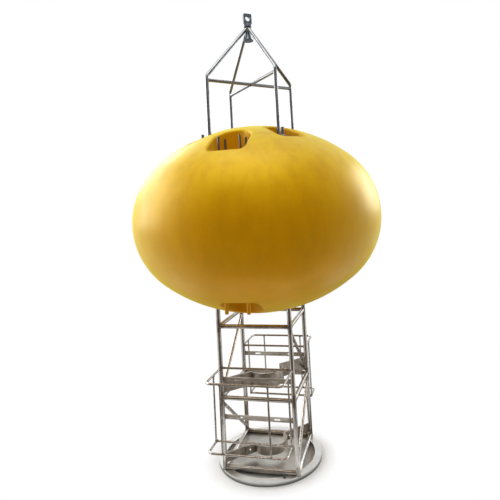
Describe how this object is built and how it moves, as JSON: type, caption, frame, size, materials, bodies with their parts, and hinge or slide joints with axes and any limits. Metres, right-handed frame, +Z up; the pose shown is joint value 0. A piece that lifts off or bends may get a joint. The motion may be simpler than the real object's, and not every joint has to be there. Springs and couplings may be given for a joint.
{
  "type": "oceanographic buoy",
  "caption": "Foam spheroid float on a welded stainless frame with a lifting eye on top and an open instrument cage and round base below.",
  "frame": {"origin": "centre of the base ring's underside, on the buoy's vertical axis", "axes": "+Z up along the buoy's axis, -Y to the front, the open side of the cage with the guard that the picture shows nearest"},
  "size_m": [1.5, 1.4996, 2.7403],
  "materials": {
    "float_skin": "satin sprayed elastomer over foam",
    "satin_stainless": "satin stainless with heat tint at the welds",
    "dark_stainless": "dull stainless",
    "bright_stainless": "bright rolled stainless"
  },
  "bodies": {
    "frame": {"base_ring": "bright_stainless", "bottom_ring_back": "satin_stainless", "bottom_ring_front": "satin_stainless", "bottom_ring_left": "satin_stainless", "bottom_ring_right": "satin_stainless", "brace_left_lower": "satin_stainless", "brace_left_upper": "satin_stainless", "brace_right_lower": "satin_stainless", "brace_right_upper": "satin_stainless", "clamp_low_band": "satin_stainless", "clamp_low_gusset_back_right": "satin_stainless", "clamp_low_gusset_front_left": "satin_stainless", "clamp_mid_band": "satin_stainless", "clamp_mid_gusset_back_right": "satin_stainless", "clamp_mid_gusset_front_left": "satin_stainless", "corner_studs": "dark_stainless", "cross_bar_halves": "dark_stainless", "cross_bar_long": "dark_stainless", "flat_bar_back_high": "satin_stainless", "flat_bar_front_high": "satin_stainless", "flat_bar_front_low": "satin_stainless", "float_body": "float_skin", "floor_plate": "bright_stainless", "foot_back_left": "dark_stainless", "foot_back_right": "dark_stainless", "foot_front_left": "dark_stainless", "foot_front_right": "dark_stainless", "guard_back_low_bar": "satin_stainless", "guard_back_low_hoop": "satin_stainless", "guard_back_top_bar": "satin_stainless", "guard_back_top_hoop": "satin_stainless", "guard_back_uprights": "satin_stainless", "guard_front_low_bar": "satin_stainless", "guard_front_low_hoop": "satin_stainless", "guard_front_top_bar": "satin_stainless", "guard_front_top_hoop": "satin_stainless", "guard_front_uprights": "satin_stainless", "head": "dark_stainless", "leg_back_left": "satin_stainless", "leg_back_right": "satin_stainless", "leg_front_left": "satin_stainless", "leg_front_right": "satin_stainless", "lifting_rod_back_left": "dark_stainless", "lifting_rod_back_right": "dark_stainless", "lifting_rod_front_left": "dark_stainless", "lifting_rod_front_right": "dark_stainless", "middle_ring_back": "satin_stainless", "middle_ring_front": "satin_stainless", "middle_ring_left": "satin_stainless", "middle_ring_right": "satin_stainless", "tie_rods_back": "dark_stainless", "tie_rods_front": "dark_stainless", "top_ring_back": "satin_stainless", "top_ring_front": "satin_stainless", "top_ring_left": "satin_stainless", "top_ring_right": "satin_stainless"},
    "eye": {"swivel_eye": "dark_stainless"}
  },
  "joints": [
    {"name": "eye_swivel", "type": "hinge", "parent": "frame", "child": "eye", "pos_m": [0, 0, 2.6763], "axis": [0, 0, 1], "continuous": true}
  ]
}
